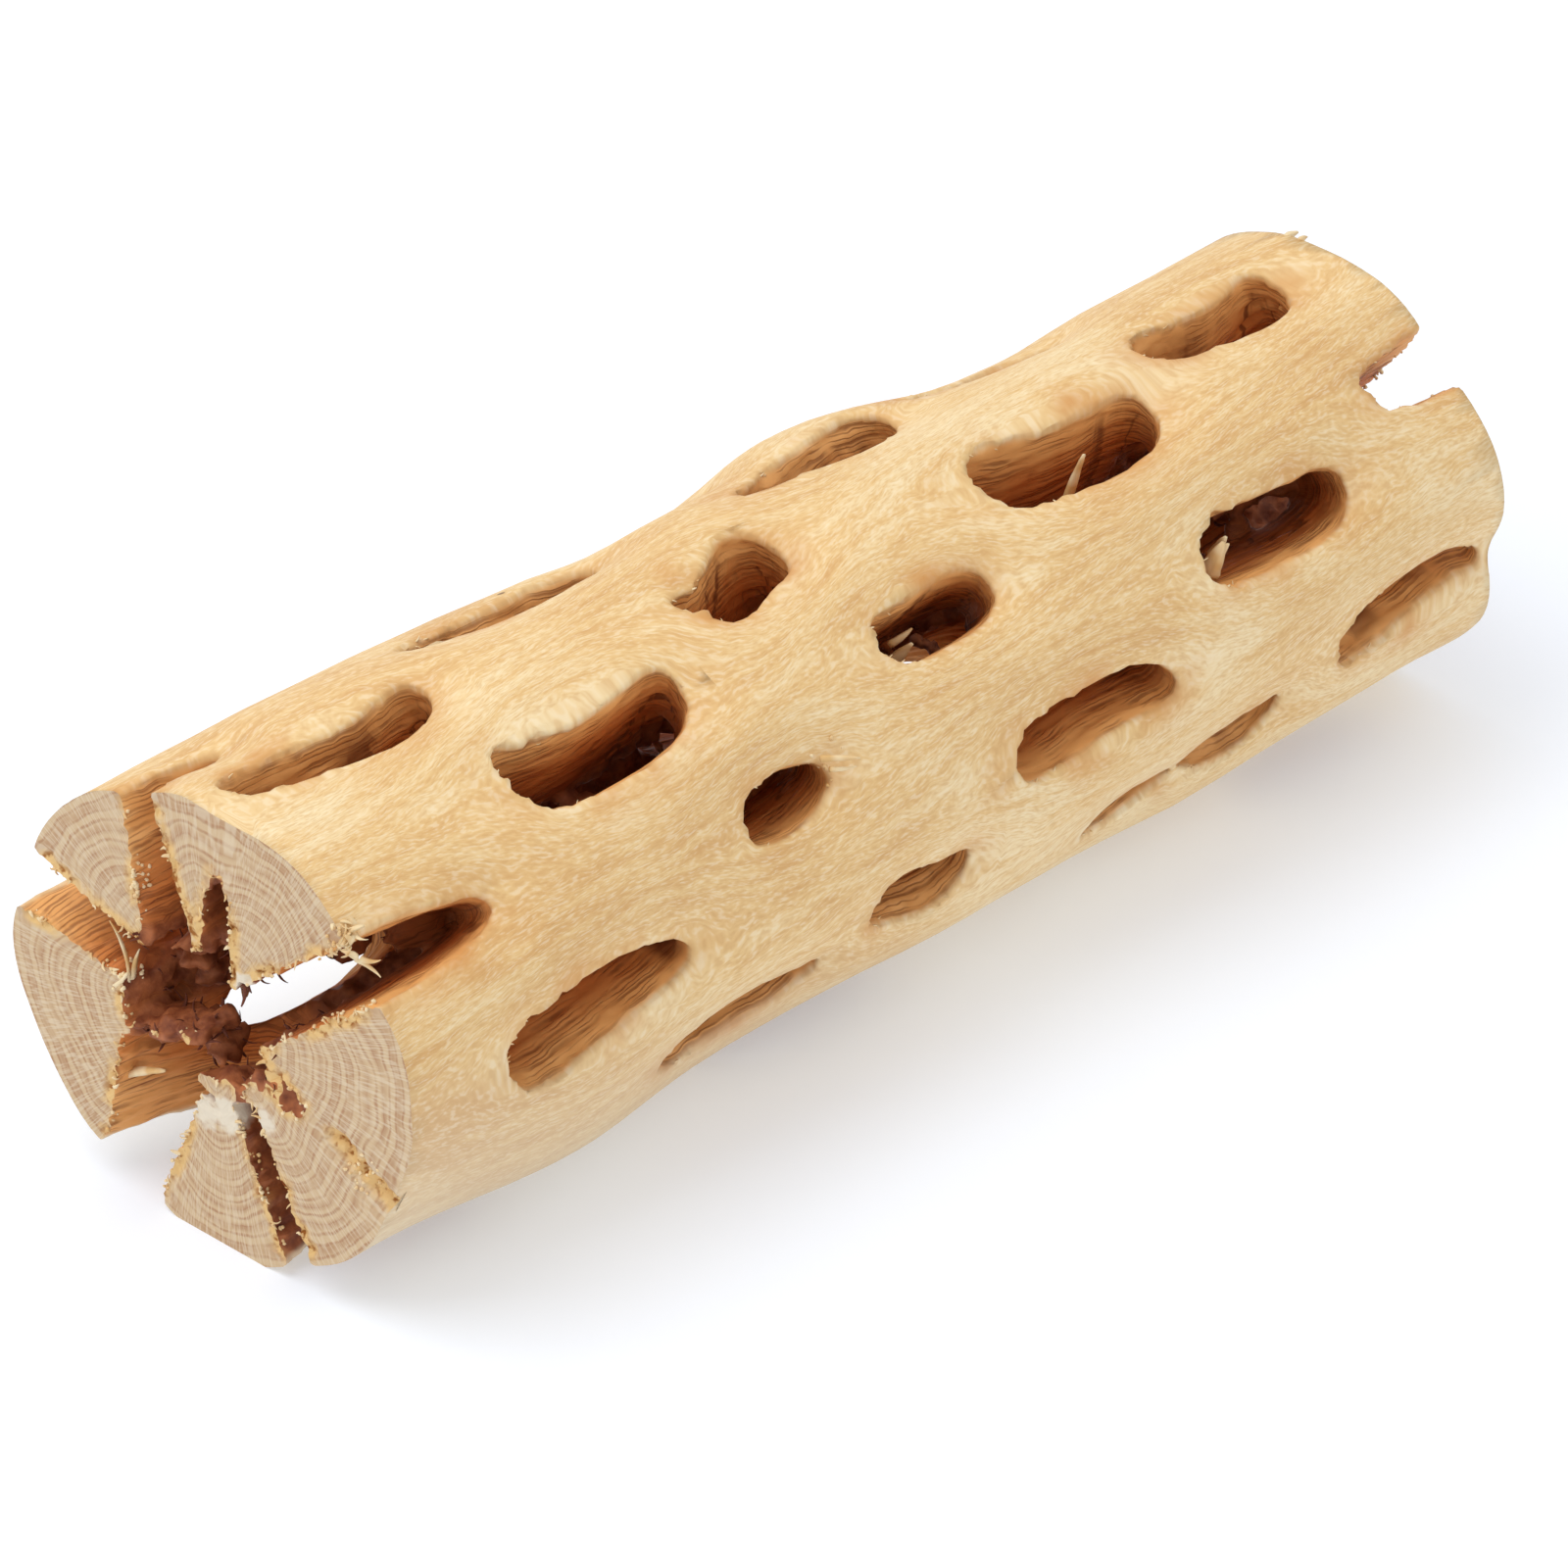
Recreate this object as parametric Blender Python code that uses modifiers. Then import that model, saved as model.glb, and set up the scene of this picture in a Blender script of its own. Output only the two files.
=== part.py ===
# A length of cactus-skeleton driftwood: a hollow wooden tube pierced by long holes in crossing spirals,
# sawn off at both ends and lying on its side.
# The log runs along X. An angle round it starts at the top and grows towards -Y.
import math
import random

import bmesh
import bpy
from mathutils import Matrix, Vector, noise

mm = 0.001

# Driving sizes
log_length = 200 * mm
near_radius = 33.6 * mm
far_radius = 31.4 * mm
axis_height = 32.9 * mm
near_saw_cut = {"x": -99.6 * mm, "turn": 7.5, "lean": 2.5}
far_saw_cut = {"x": 96.5 * mm, "turn": 3.0, "lean": -3.5}

# The hollow where the pith was
core_radius = 10.5 * mm
core_shift = 2.5 * mm
core_shift_angle = -105
core_unevenness = 2.2 * mm
core_lump_length = 14 * mm

# The middle of the finished log's box, which is brought over the origin
box_middle = (-2.66 * mm, 0.53 * mm)

# Soft swellings all over, and the dip of the skin at each hole
swelling = 1.1 * mm
swelling_length = 38 * mm
swellings_round = 1.7
hole_dip = 2.0 * mm
dip_past_hole_end = 5 * mm
dip_reach_round = 8.5 * mm

# Broad swells and hollows of the outside: middle along and round, reach along and round, height
swells = [
    (-63, 134, 20, 32, 1.5),
    (14, -42, 18, 26, 1.6),
    (57, -45, 24, 30, -1.6),
    (95, 118, 16, 34, -1.3),
    (-100, -80, 24, 40, 1.0),
    (70, 180, 34, 44, 2.3),
    (-100, -50, 16, 18, -1.2),
    (-100, 175, 14, 22, 0.9),
    (-97, 126, 14, 20, -1.0),
]

# The holes lie on a lattice wrapped round the log. These are its two steps, along and round.
step_up = (23.6 * mm, 35.0)
step_down = (33.0 * mm, -23.0)
lattice_start = (-18.3 * mm, 8.0)

# The holes that can be seen, and those that shape the sawn faces: middle along and round, length,
# widths at near end, middle and far end, tilt, bend (a bow to one side) and sway (an S).
# Where they differ from the plain hole's, the width at the core as a share of the skin's,
# and how far the hole leans aside by the time it reaches the core. Lengths in mm, angles in degrees.
hole_traits = ("x", "angle", "length", "widths", "tilt", "bend", "sway", "core_width", "lean")
plain_hole = {"core_width": 0.78, "lean": 0.0}
seen_holes = [
    (-78, -3, 31, (8.0, 6.5, 10.5), -4, 1.2, 1.0),
    (-49, 29, 28, (14.0, 8.3, 13.0), -2, 1.3, 0.0),
    (-98, 51, 45, (10.0, 8.3, 6.5), 0, 0.0, 0.0, 1.0, 0.6),
    (-63, 86, 29, (14.0, 9.5, 8.0), -1, -0.3, -0.6),
    (-17, 7, 17, (8.5, 8.7, 13.0), -7, 0.7, -1.2),
    (-28, 62, 13, (7.7, 7.7, 6.1), -2, 0.0, 0.0),
    (11, -21, 28, (5.0, 8.0, 11.0), -12, 0.6, 0.8),
    (37, 17, 29, (15.0, 10.0, 13.0), 1, 0.9, 0.4),
    (4, 39, 19, (7.3, 7.4, 9.4), 1, 0.4, -0.3),
    (23, 81, 27, (10.8, 7.7, 7.5), 3, -0.7, -0.7),
    (-8, 104, 17, (9.0, 8.5, 8.0), 8, 0.4, 0.6),
    (72, 0, 25, (11.5, 8.3, 13.5), -7, 1.2, 0.7),
    (59, 58, 26, (12.0, 8.9, 11.5), 1, 0.3, 0.2),
    (82, 99, 27, (12.0, 9.0, 5.5), 3, -1.0, -1.2),
    (50, 114, 18, (7.0, 9.0, 7.0), 6, 0.4, 0.0),
    (32, 119, 15, (5.0, 7.0, 5.0), -4, -0.4, 0.0),
    (-37, 117, 27, (7.0, 9.0, 7.0), 2, -0.6, 0.0),
    (-41, -26, 30, (6.0, 8.5, 10.5), -3, 0.5, 0.5),
    (-12, -43, 21, (7.0, 8.0, 8.0), 0, 0.0, 0.4),
    (44, -33, 25, (7.0, 9.5, 9.0), -4, 0.5, 0.4),
    (98, 39, 32, (7.5, 8.5, 8.5), -1, 0.3, 0.0),
    (-104, -23, 32, (7.5, 5.2, 5.0), -3, 0.0, 0.0, 1.9, -3.0),
    (-99, -77, 42, (13.0, 9.0, 9.0), 2, 0.3, 0.0),
    (-104, -156, 40, (10.5, 9.5, 9.0), -3, 0.4, 0.0, 1.6, 4.0),
    (-70.5, -131, 24, (9.0, 10.0, 8.5), 1, 0.3, 0.0),
    (-86, 154, 30, (5.0, 6.5, 7.0), 2, 0.0, 0.0),
    (-114.6, 110, 22, (8.0, 9.5, 9.0), 0, 0.0, 0.0),
    (-113.7, 3, 23, (6.5, 8.0, 8.0), 0, 0.0, 0.0),
    (26, -139, 24, (8.0, 9.0, 8.5), 0, 0.3, 0.0),
]

# The holes of the hidden sides, drawn at random about the lattice
hidden_hole_sizes = {"length": (23, 30), "width": (7.5, 10.5), "bend": 1.0, "tilt": 4}
hidden_reach = 104 * mm
most_steps = 12
stray_along = 3 * mm
stray_round = 3
wood_between = 4
angle_between_rows = 24
lattice_seed = 7

# How a hole runs from the skin to the core: longer and narrower inside, with a flared mouth
inner_growth = 16 * mm
mouth_flare = 0.22
mouth_start = 0.8
squareness = 0.8
cutter_start = 2 * mm
cutter_past_skin = 7 * mm

# The blocks that stand for the saw and for the ground that wore the underside
saw_block = (60 * mm, 120 * mm, 120 * mm)
floor_block = (300 * mm, 100 * mm, 20 * mm)

# Mesh sizes
log_rings, log_sides = 130, 120
core_rings, core_sides = 70, 28
hole_rings, hole_sides = 9, 26
voxel = 1.15 * mm
kept_faces = 0.05


def clear_scene():
    for item in list(bpy.data.objects):
        bpy.data.objects.remove(item, do_unlink=True)


def new_collection(name, hidden=False):
    group = bpy.data.collections.new(name)
    group.hide_render = hidden
    bpy.context.scene.collection.children.link(group)
    return group


def spot(x, angle, radius):
    """The point at this place along and round the log, this far from its axis."""
    turn = math.radians(angle)
    return Vector((x, -radius * math.sin(turn), axis_height + radius * math.cos(turn)))


def angle_between(first, second):
    return (first - second + 180) % 360 - 180


def plain_radius(x):
    return near_radius + (far_radius - near_radius) * (x / log_length + 0.5)


def all_holes():
    """The holes that are seen, and the lattice's own where none is."""
    draw = random.Random(lattice_seed)
    holes = [{**plain_hole, **dict(zip(hole_traits, row))} for row in seen_holes]
    for hole in holes:
        hole["x"] *= mm
    size = hidden_hole_sizes
    for ups in range(-most_steps, most_steps + 1):
        for downs in range(-most_steps, most_steps + 1):
            x = lattice_start[0] + ups * step_up[0] + downs * step_down[0]
            if abs(x) > hidden_reach:
                continue
            angle = lattice_start[1] + ups * step_up[1] + downs * step_down[1]
            made = {
                "x": x + draw.uniform(-stray_along, stray_along),
                "angle": angle_between(angle + draw.uniform(-stray_round, stray_round), 0),
                "length": draw.uniform(*size["length"]),
                "widths": tuple(draw.uniform(*size["width"]) for _ in range(3)),
                "tilt": draw.uniform(-size["tilt"], size["tilt"]),
                "bend": draw.uniform(-size["bend"], size["bend"]),
                "sway": draw.uniform(-size["bend"], size["bend"]) / 2,
            }
            if all(is_apart(made, hole) for hole in holes):
                holes.append({**plain_hole, **made})
    return holes


def is_apart(one, other):
    """Whether enough wood is left between two holes, along or round the log."""
    reach = (one["length"] + other["length"]) / 2 + wood_between
    along = (one["x"] - other["x"]) / mm / reach
    round_log = angle_between(one["angle"], other["angle"]) / angle_between_rows
    return math.hypot(along, round_log) > 1


def skin_radius(x, angle, holes):
    """The wood's outer radius: a taper, soft swellings, and a dip at each hole."""
    turn = math.radians(angle)
    around = (swellings_round * math.cos(turn), swellings_round * math.sin(turn))
    drift = noise.noise(Vector((x / swelling_length, *around)))
    dip = 0.0
    for hole in holes:
        along = (x - hole["x"]) / (0.5 * hole["length"] * mm + dip_past_hole_end)
        across = math.radians(angle_between(angle, hole["angle"])) * near_radius / dip_reach_round
        dip = max(dip, math.exp(-(along**2 + across**2)))
    swell = 0.0
    for middle, swell_angle, reach, reach_round, height in swells:
        along = (x / mm - middle) / reach
        across = angle_between(angle, swell_angle) / reach_round
        swell += height * mm * math.exp(-(along**2 + across**2))
    return plain_radius(x) + swelling * (0.4 + drift) + swell - hole_dip * dip


def tube(length, rings, sides):
    """A closed unit cylinder along X, with rings of points along its length."""
    shape = bmesh.new()
    bmesh.ops.create_cone(shape, cap_ends=True, segments=sides, radius1=1, radius2=1, depth=1)
    long_edges = [edge for edge in shape.edges if abs(edge.verts[0].co.z - edge.verts[1].co.z) > 0.5]
    bmesh.ops.subdivide_edges(shape, edges=long_edges, cuts=rings)
    for point in shape.verts:
        point.co = Vector((point.co.z * length, -point.co.y, point.co.x))
    return shape


def finish(shape, name, group):
    if shape.calc_volume(signed=True) < 0:
        bmesh.ops.reverse_faces(shape, faces=shape.faces)
    mesh = bpy.data.meshes.new(name)
    shape.to_mesh(mesh)
    shape.free()
    made = bpy.data.objects.new(name, mesh)
    group.objects.link(made)
    return made


def make_log(group, holes):
    shape = tube(log_length * 1.15, log_rings, log_sides)
    for point in shape.verts:
        angle = math.degrees(math.atan2(-point.co.y, point.co.z))
        radius = math.hypot(point.co.y, point.co.z) * skin_radius(point.co.x, angle, holes)
        point.co = spot(point.co.x, angle, radius)
    return finish(shape, "driftwood_log", group)


def make_core_cutter(group):
    """The hollow where the pith was: a wandering, uneven tube."""
    shape = tube(log_length * 1.3, core_rings, core_sides)
    for point in shape.verts:
        x = point.co.x
        turn = math.atan2(-point.co.y, point.co.z)
        uneven = noise.noise(Vector((x / core_lump_length, 2 * math.cos(turn) + 7, 2 * math.sin(turn))))
        radius = core_radius + core_unevenness * uneven
        middle = spot(x, core_shift_angle, core_shift)
        point.co = middle + spot(0, math.degrees(turn), radius) - spot(0, 0, 0)
    return finish(shape, "core_cutter", group)


def hole_outline(hole, along, side):
    """Across the hole at this share of its half length, on one side (-1 to 1) of its middle line."""
    near, middle, far = hole["widths"]
    width = middle + (far - near) / 2 * along + ((far + near) / 2 - middle) * along**2
    return width / 2 * side + hole["bend"] * (1 - 2 * along**2) + hole["sway"] * math.sin(math.pi * along)


def squared(value):
    """A cosine or sine, pushed outwards so that an ellipse gets fuller ends."""
    return math.copysign(abs(value) ** squareness, value)


def make_hole_cutter(group, hole, number):
    """A loft from the core out past the skin."""
    shape = tube(1, hole_rings, hole_sides)
    skin = plain_radius(hole["x"])
    tilt = math.radians(hole["tilt"])
    facing = math.radians(hole["angle"])
    outward = Vector((0, -math.sin(facing), math.cos(facing)))
    tangent = Vector((0, -math.cos(facing), -math.sin(facing)))
    for point in shape.verts:
        radius = cutter_start + (skin + cutter_past_skin - cutter_start) * (point.co.x + 0.5)
        wall = (radius - core_radius) / (skin - core_radius)
        inward = min(max(1 - wall, 0), 1.2)
        flare = 1 + mouth_flare * max(0, wall - mouth_start) / (1 - mouth_start)
        rim = math.hypot(point.co.y, point.co.z)
        turn = math.atan2(point.co.y, point.co.z)
        along = squared(math.cos(turn))
        half_length = hole["length"] / 2 * mm + inner_growth / 2 * inward**0.9
        half_length *= 0.9 + 0.1 * flare
        width = (1 - (1 - hole["core_width"]) * inward) * flare
        across = hole_outline(hole, along, squared(math.sin(turn))) * mm * width
        x = rim * (along * half_length * math.cos(tilt) - across * math.sin(tilt))
        sideways = rim * (along * half_length * math.sin(tilt) + across * math.cos(tilt))
        sideways += hole["lean"] * mm * inward
        point.co = Vector((hole["x"] + x, 0, axis_height)) + outward * radius + tangent * sideways
    return finish(shape, f"hole_cutter_{number:02d}", group)


def make_block(group, name, size, middle):
    shape = bmesh.new()
    bmesh.ops.create_cube(shape, size=1)
    bmesh.ops.scale(shape, vec=size, verts=shape.verts)
    bmesh.ops.translate(shape, vec=middle, verts=shape.verts)
    return finish(shape, name, group)


def make_saw_cutter(group, name, cut, side):
    """A block past one end of the log, whose inner face is the saw cut."""
    made = make_block(group, name, saw_block, (side * saw_block[0] / 2, 0, 0))
    made.location = (cut["x"], 0, axis_height)
    made.rotation_euler = (0, math.radians(cut["lean"]), math.radians(cut["turn"]))
    return made


def keep_largest_body(item):
    """Bakes the modifiers so far and drops any loose scrap that the cutters left."""
    bpy.context.view_layer.update()
    shape = bmesh.new()
    shape.from_object(item, bpy.context.evaluated_depsgraph_get())
    left = set(shape.verts)
    bodies = []
    while left:
        waiting = [left.pop()]
        body = set(waiting)
        while waiting:
            for edge in waiting.pop().link_edges:
                fresh = {point for point in edge.verts if point in left}
                left -= fresh
                body |= fresh
                waiting += fresh
        bodies.append(body)
    scraps = [point for body in sorted(bodies, key=len)[:-1] for point in body]
    bmesh.ops.delete(shape, geom=scraps, context="VERTS")
    shape.to_mesh(item.data)
    shape.free()
    item.modifiers.clear()


def add_cut(log, name, cutter):
    cut = log.modifiers.new(name, "BOOLEAN")
    cut.operation = "DIFFERENCE"
    cut.solver = "EXACT"
    if isinstance(cutter, bpy.types.Collection):
        cut.operand_type = "COLLECTION"
        cut.collection = cutter
    else:
        cut.object = cutter


def wood_material():
    wood = bpy.data.materials.new("bare_cactus_wood")
    wood.use_nodes = True
    shader = wood.node_tree.nodes["Principled BSDF"]
    shader.inputs["Base Color"].default_value = (0.75, 0.53, 0.28, 1)
    shader.inputs["Roughness"].default_value = 0.75
    shader.inputs["Metallic"].default_value = 0
    return wood


def main():
    clear_scene()
    parts = new_collection("driftwood")
    void_cutters = new_collection("void_cutters", hidden=True)
    saw_cutters = new_collection("saw_cutters", hidden=True)
    holes = all_holes()
    log = make_log(parts, holes)
    make_core_cutter(void_cutters)
    for number, hole in enumerate(holes):
        make_hole_cutter(void_cutters, hole, number)

    add_cut(log, "holes and core", void_cutters)
    grown = log.modifiers.new("grown shape", "REMESH")
    grown.mode = "VOXEL"
    grown.voxel_size = voxel
    soft = log.modifiers.new("rounded rims", "SMOOTH")
    soft.factor = 0.5
    soft.iterations = 2
    fewer = log.modifiers.new("fewer faces", "DECIMATE")
    fewer.ratio = kept_faces
    keep_largest_body(log)

    add_cut(log, "near saw cut", make_saw_cutter(saw_cutters, "near_saw_cut", near_saw_cut, -1))
    add_cut(log, "far saw cut", make_saw_cutter(saw_cutters, "far_saw_cut", far_saw_cut, 1))
    ground = make_block(saw_cutters, "floor_cut", floor_block, (0, 0, -floor_block[2] / 2))
    add_cut(log, "worn underside", ground)
    keep_largest_body(log)
    log.data.transform(Matrix.Translation((-box_middle[0], -box_middle[1], 0)))
    log.data.materials.append(wood_material())
    log.data.shade_smooth()
    log.data.set_sharp_from_angle(angle=math.radians(40))
    for cutter in list(void_cutters.objects) + list(saw_cutters.objects):
        cutter.display_type = "WIRE"
        cutter.hide_render = True


main()
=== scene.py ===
import math
import random

import bmesh
import bpy
import numpy as np
from mathutils import Matrix, Vector, kdtree, noise
from mathutils.geometry import intersect_point_line


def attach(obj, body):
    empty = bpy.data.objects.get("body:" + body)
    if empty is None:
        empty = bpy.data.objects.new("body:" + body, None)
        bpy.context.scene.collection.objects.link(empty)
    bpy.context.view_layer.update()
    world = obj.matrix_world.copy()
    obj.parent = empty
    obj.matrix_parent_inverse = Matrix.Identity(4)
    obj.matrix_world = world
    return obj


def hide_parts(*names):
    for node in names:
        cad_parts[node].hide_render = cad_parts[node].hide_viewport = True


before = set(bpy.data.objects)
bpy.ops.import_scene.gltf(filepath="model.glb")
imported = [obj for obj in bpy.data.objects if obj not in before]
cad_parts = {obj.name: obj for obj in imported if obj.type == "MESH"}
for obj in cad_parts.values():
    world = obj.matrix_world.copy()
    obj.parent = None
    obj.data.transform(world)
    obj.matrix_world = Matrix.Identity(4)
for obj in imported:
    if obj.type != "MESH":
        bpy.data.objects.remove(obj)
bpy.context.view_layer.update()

# Cactus-skeleton driftwood: a sawn, hollow log full of long holes, with its torn fibres and the rags of its pith.
# The log runs along X. An angle round it starts at the top and grows towards -Y.
mm = 0.001

logShape = {
    "length": 200 * mm,
    "nearRadius": 33.6 * mm,
    "farRadius": 31.4 * mm,
    "axisHeight": 32.9 * mm,
    "boxMiddle": (-2.66 * mm, 0.53 * mm),  # brought over the origin at the end
    "swelling": 1.1 * mm,
    "swellSize": 38 * mm,
    "wave": (15 * mm, 8 * mm, 8 * mm),
    "waveHeight": 0.3 * mm,
    "holeDip": 2.0 * mm,
    "dipReach": (5 * mm, 8.5 * mm),  # past the hole's ends, and round the log
    "funnel": 1.7 * mm,  # the scoop worn at each hole's far end
    "funnelReach": (5 * mm, 5.5 * mm),
    "nearCut": {"x": -99.6 * mm, "turn": 7.5, "lean": 2.5, "side": -1},
    "farCut": {"x": 96.5 * mm, "turn": 3.0, "lean": -3.5, "side": 1},
    "rings": 300,  # points along and round the skin before anything is cut
    "sides": 240,
    "voxel": 0.55 * mm,
    "mostTriangles": 168000,
    "capSquares": 84,  # squares across the saw block, for grain and crumbs on the sawn faces
}

# Broad swells and hollows: middle along and round, reach along and round, height (mm, degrees)
swells = [
    (-63, 134, 20, 32, 1.5),
    (14, -42, 18, 26, 1.6),
    (57, -45, 24, 30, -1.6),
    (95, 118, 16, 34, -1.3),
    (-100, -80, 24, 40, 1.0),
    (70, 180, 34, 44, 2.3),
    (-100, -50, 16, 18, -1.2),
    (-100, 175, 14, 22, 0.9),
    (-97, 126, 14, 20, -1.0),
]

# Where the pith was
core = {"radius": 10.5 * mm, "shift": 2.5 * mm, "shiftAngle": -105, "uneven": 2.2 * mm, "lump": 14 * mm}

# The holes that can be seen: middle along and round, length, widths at near end, middle and far end,
# tilt, bend (a bow to one side), sway (an S), and where they differ from the plain hole's,
# the width at the core as a share of the skin's and the lean aside at the core. Lengths in mm, angles in degrees.
seenHoles = [
    (-78, -3, 31, (8.0, 6.5, 10.5), -4, 1.2, 1.0),
    (-49, 29, 28, (14.0, 8.3, 13.0), -2, 1.3, 0.0),
    (-98, 51, 45, (10.0, 8.3, 6.5), 0, 0.0, 0.0, 1.0, 0.6),
    (-63, 86, 29, (14.0, 9.5, 8.0), -1, -0.3, -0.6),
    (-17, 7, 17, (8.5, 8.7, 13.0), -7, 0.7, -1.2),
    (-28, 62, 13, (7.7, 7.7, 6.1), -2, 0.0, 0.0),
    (11, -21, 28, (5.0, 8.0, 11.0), -12, 0.6, 0.8),
    (37, 17, 29, (15.0, 10.0, 13.0), 1, 0.9, 0.4),
    (4, 39, 19, (7.3, 7.4, 9.4), 1, 0.4, -0.3),
    (23, 81, 27, (10.8, 7.7, 7.5), 3, -0.7, -0.7),
    (-8, 104, 17, (9.0, 8.5, 8.0), 8, 0.4, 0.6),
    (72, 0, 25, (11.5, 8.3, 13.5), -7, 1.2, 0.7),
    (59, 58, 26, (12.0, 8.9, 11.5), 1, 0.3, 0.2),
    (82, 99, 27, (12.0, 9.0, 5.5), 3, -1.0, -1.2),
    (50, 114, 18, (7.0, 9.0, 7.0), 6, 0.4, 0.0),
    (32, 119, 15, (5.0, 7.0, 5.0), -4, -0.4, 0.0),
    (-37, 117, 27, (7.0, 9.0, 7.0), 2, -0.6, 0.0),
    (-41, -26, 30, (6.0, 8.5, 10.5), -3, 0.5, 0.5),
    (-12, -43, 21, (7.0, 8.0, 8.0), 0, 0.0, 0.4),
    (44, -33, 25, (7.0, 9.5, 9.0), -4, 0.5, 0.4),
    (98, 39, 32, (7.5, 8.5, 8.5), -1, 0.3, 0.0),
    (-104, -23, 32, (7.5, 5.2, 5.0), -3, 0.0, 0.0, 1.9, -3.0),
    (-99, -77, 42, (13.0, 9.0, 9.0), 2, 0.3, 0.0),
    (-104, -156, 40, (10.5, 9.5, 9.0), -3, 0.4, 0.0, 1.6, 4.0),
    (-70.5, -131, 24, (9.0, 10.0, 8.5), 1, 0.3, 0.0),
    (-86, 154, 30, (6.5, 6.5, 7.0), 2, 0.0, 0.0),
    (-114.6, 110, 22, (8.0, 9.5, 9.0), 0, 0.0, 0.0),
    (-113.7, 3, 23, (6.5, 8.0, 8.0), 0, 0.0, 0.0),
    (26, -139, 24, (8.0, 9.0, 8.5), 0, 0.3, 0.0),
]
holeNames = ("x", "angle", "length", "widths", "tilt", "bend", "sway", "coreWidth", "lean")
plainHole = {"coreWidth": 0.78, "lean": 0.0}

# The rest lie on a lattice wrapped round the log. These are its two steps, along and round.
lattice = {
    "stepUp": (23.6 * mm, 35.0),
    "stepDown": (33.0 * mm, -23.0),
    "start": (-18.3 * mm, 8.0),
    "reach": 104 * mm,
    "length": (23, 30),
    "width": (7.5, 10.5),
    "bend": 1.0,
    "tilt": 4,
    "seed": 7,
}

# How a hole runs from the skin to the core
holeShape = {
    "innerGrowth": 16 * mm,
    "start": 2 * mm,  # out from the axis
    "pastSkin": 5 * mm,
    "flare": 0.22,
    "mouth": (0.8, 0.2),  # where the flare starts, and its length, as shares of the wall
    "fullness": 0.8,
    "rings": 14,
    "sides": 44,
}

# How the wood is worn and torn
surface = {
    "ledge": 2.3 * mm,  # one growth layer
    "ledgeHeight": 0.4 * mm,
    "fibre": (9 * mm, 0.95 * mm),  # ridges on the walls: length and spacing
    "fibreHeight": 0.36 * mm,
    "bite": (3.0 * mm, 1.1 * mm),  # torn lips of the holes: size and depth
    "nick": (1.0 * mm, 0.42 * mm),
    "pithLump": (2.8 * mm, 1.1 * mm),
    "pithGrain": (1.2 * mm, 0.8 * mm),
    "crumb": (1.3 * mm, 1.1 * mm),
    "crumbReach": 1.7 * mm,
    "wallDepth": (0.25 * mm, 1.1 * mm),  # where the skin turns into wall
    "wallTurn": (0.15, 0.6),  # how far a wall faces away from straight out
    "lipTurn": (0.1, 0.5),
    "lipReach": 1.8 * mm,
    "lipBase": 0.22,  # how torn a lip is where nothing else tore it
    "corePast": (5 * mm, 1 * mm),  # pith reaches this far past the core
}

# Rags of pith left in the core: middle along, round and out, then half sizes along, round and out (mm, degrees)
pithRags = [
    (-97.0, -118, 16.0, 4.5, 1.5, 4.2),  # the shelf that reaches in from one lobe
    (-97.0, -123, 11.0, 4.5, 1.4, 4.0),
    (-96.0, -134, 6.5, 3.4, 1.3, 3.0),
    (-94.0, -152, 9.6, 3.0, 2.0, 2.0),
    (-98.0, 172, 9.5, 3.0, 4.0, 1.8),
    (-96.5, 140, 10.0, 3.0, 3.6, 2.0),
    (-95.5, 114, 11.0, 3.5, 2.8, 2.4),
    (-91.0, 110, 16.0, 5.0, 2.2, 5.0),
    (-94.0, -8, 11.2, 2.6, 2.0, 1.8),
    (-93.5, -38, 11.0, 3.0, 2.0, 1.4),
    (-94.0, -62, 11.0, 3.6, 1.6, 1.4),
    (-92.0, -84, 11.6, 3.2, 1.4, 1.7),
    (-90.0, -104, 11.8, 3.4, 1.8, 1.3),
    (-86.0, -70, 11.0, 3.0, 1.8, 1.5),
]

# Dark pith also clings here, outside the core, and pale felt here: middle along, round and out, reach
pithStains = [
    (-96, 110, 16, 7), (-98, -122, 10, 7), (-96, -120, 16, 5), (-98, 40, 12.5, 4.5), (-96, 1, 19, 6),
    (-97, 154, 20, 6), (-97, 155, 28, 6), (-96, -30, 14, 4), (-94, -80, 13, 6), (-94, -150, 12, 6),
]
paleFelts = [
    (-99.4, 168, 12.6, 3.6), (-100.0, -173, 13.6, 3.6), (-98.3, 140, 13.4, 2.8),
    (-98.6, 31, 10.5, 2.2), (-99.8, -24, 13, 2.6),
]

# A torn band that runs on from the end of a gap to the rim of the near sawn face
tornBand = {"from": (-97.0, 109, 21.5), "to": (-96.2, 113, 34.5), "reach": 1.7 * mm, "depth": 2.0 * mm}


def noiseOf(places):  # smooth noise, -1 to 1
    return np.array([noise.noise(place) for place in places.tolist()])


def noiseAt(points, size, seed=0, weight=None):  # with lumps about this size, only where the weight counts
    places = points / np.asarray(size) + seed * 13.7
    if weight is None:
        return noiseOf(places)
    values = np.zeros(len(points))
    chosen = np.abs(weight) > 0.02
    values[chosen] = noiseOf(places[chosen])
    return values * weight


def smoothStep(low, high, value):
    share = np.clip((value - low) / (high - low), 0, 1)
    return share * share * (3 - 2 * share)


def angleBetween(first, second):
    return (first - second + 180) % 360 - 180


def spot(x, angle, radius):
    turn = np.radians(angle)
    return np.stack((x + 0 * turn, -radius * np.sin(turn), logShape["axisHeight"] + radius * np.cos(turn)), -1)


def placeOf(points):  # along, round and out from the axis
    up = points[:, 2] - logShape["axisHeight"]
    return points[:, 0], np.degrees(np.arctan2(-points[:, 1], up)), np.hypot(points[:, 1], up)


def plainRadius(x):
    return logShape["nearRadius"] + (logShape["farRadius"] - logShape["nearRadius"]) * (x / logShape["length"] + 0.5)


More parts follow.
